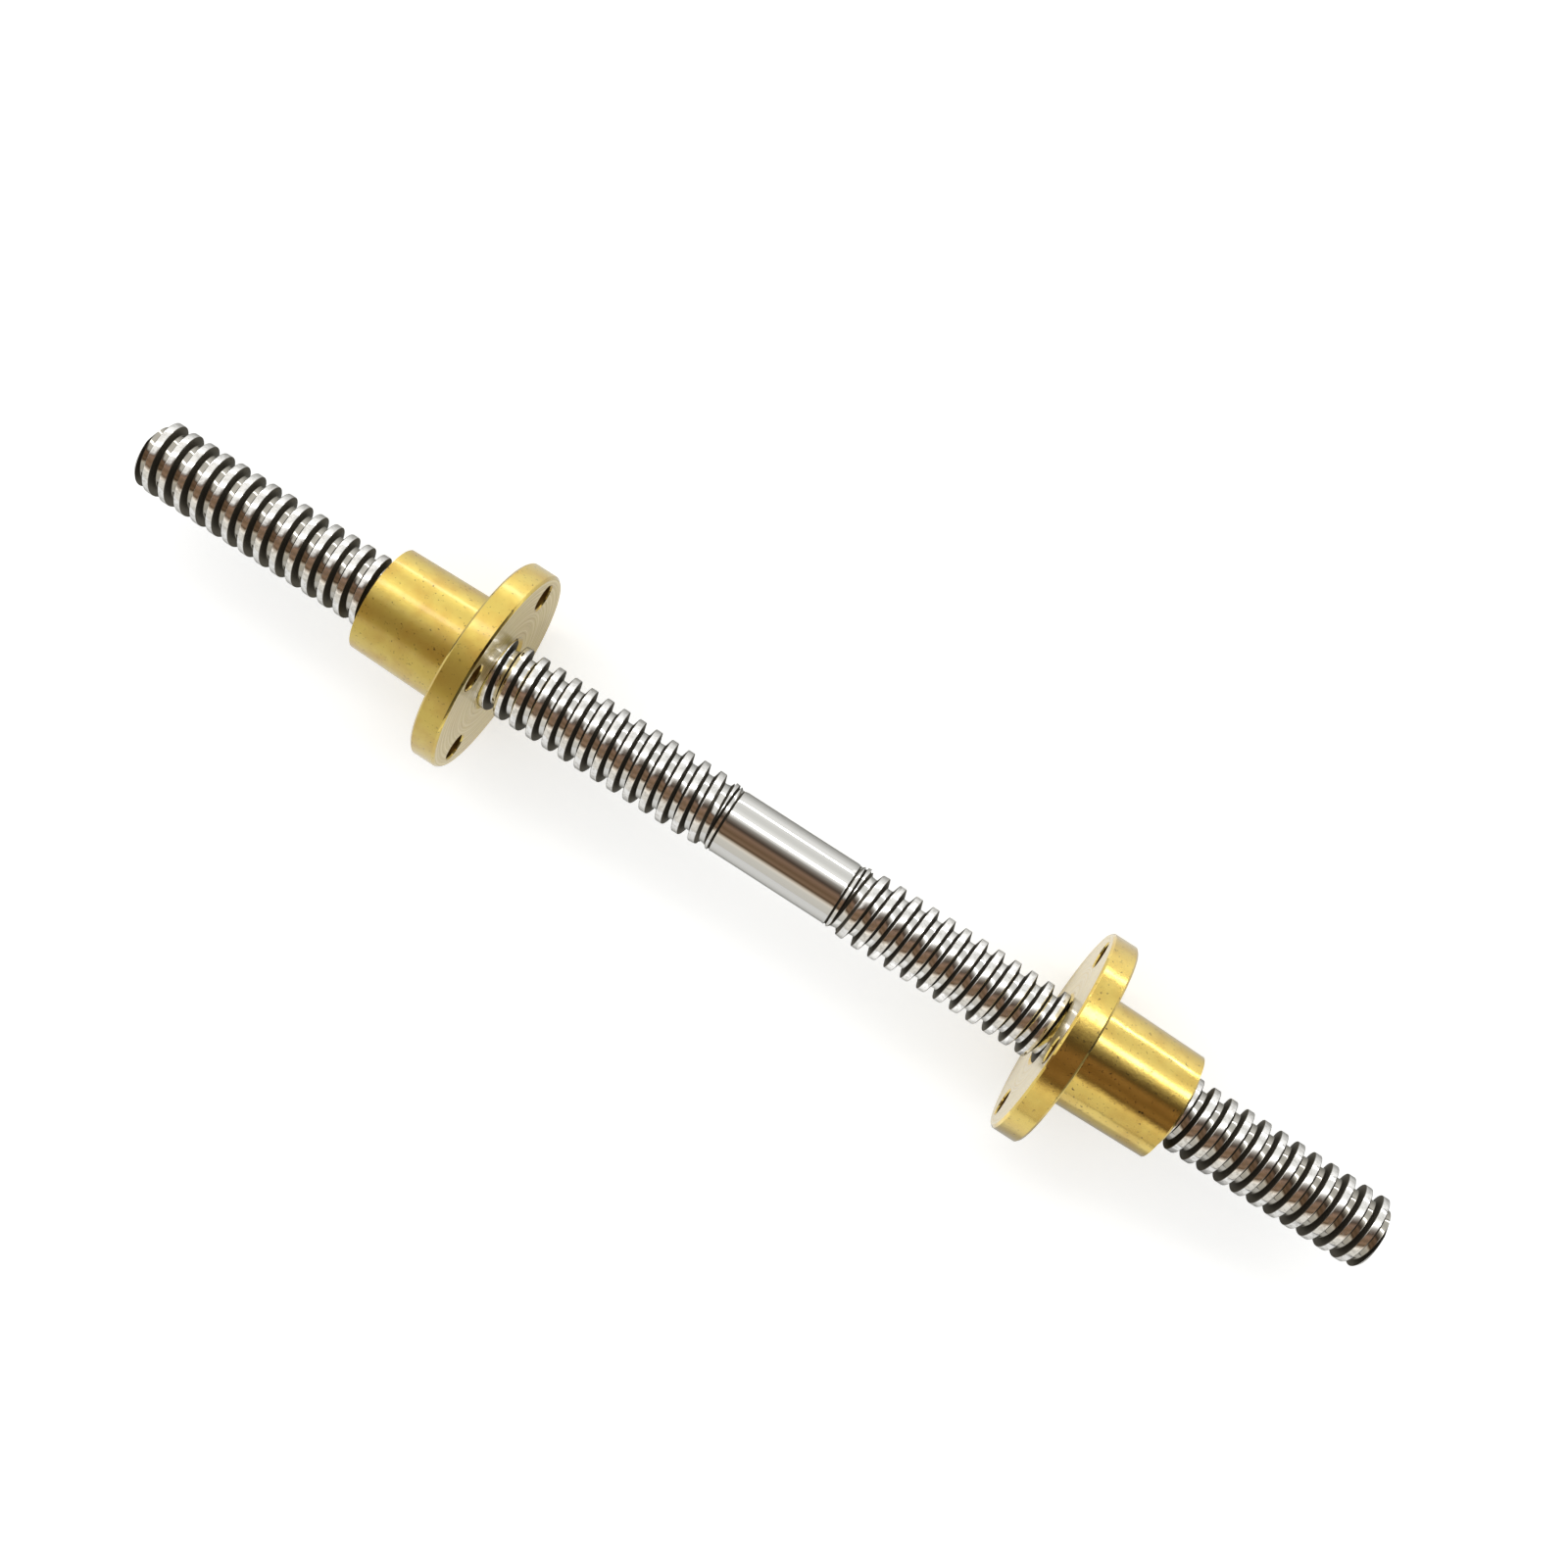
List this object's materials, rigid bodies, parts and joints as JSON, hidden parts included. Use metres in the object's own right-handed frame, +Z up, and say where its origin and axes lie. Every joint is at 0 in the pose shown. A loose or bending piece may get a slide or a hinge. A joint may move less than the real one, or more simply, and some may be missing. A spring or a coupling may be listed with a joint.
{
  "type": "trapezoidal lead screw",
  "caption": "Steel trapezoidal lead screw, right-hand thread on one half and left-hand on the other, plain in the middle, with flanged brass nuts that move together or apart.",
  "frame": {"origin": "on the screw's axis, half way between its two ends", "axes": "+X along the screw from the end with the right-hand thread to the end with the left-hand thread, +Z up, towards the picture's camera"},
  "size_m": [0.15, 0.0234, 0.0234],
  "materials": {
    "steel": "bright rolled and polished stainless steel",
    "brass": "turned brass"
  },
  "bodies": {
    "screw": {"lead_screw": "steel"},
    "left_nut": {"left_nut": "brass"},
    "right_nut": {"right_nut": "brass"}
  },
  "joints": [
    {"name": "left_nut_travel", "type": "slide", "parent": "screw", "child": "left_nut", "axis": [1, 0, 0], "range_m": [-0.022, 0.022]},
    {"name": "right_nut_travel", "type": "slide", "parent": "screw", "child": "right_nut", "axis": [1, 0, 0], "range_m": [-0.022, 0.022]}
  ],
  "couplings": [
    {"joint": "right_nut_travel", "follows": "left_nut_travel", "ratio": -1}
  ]
}
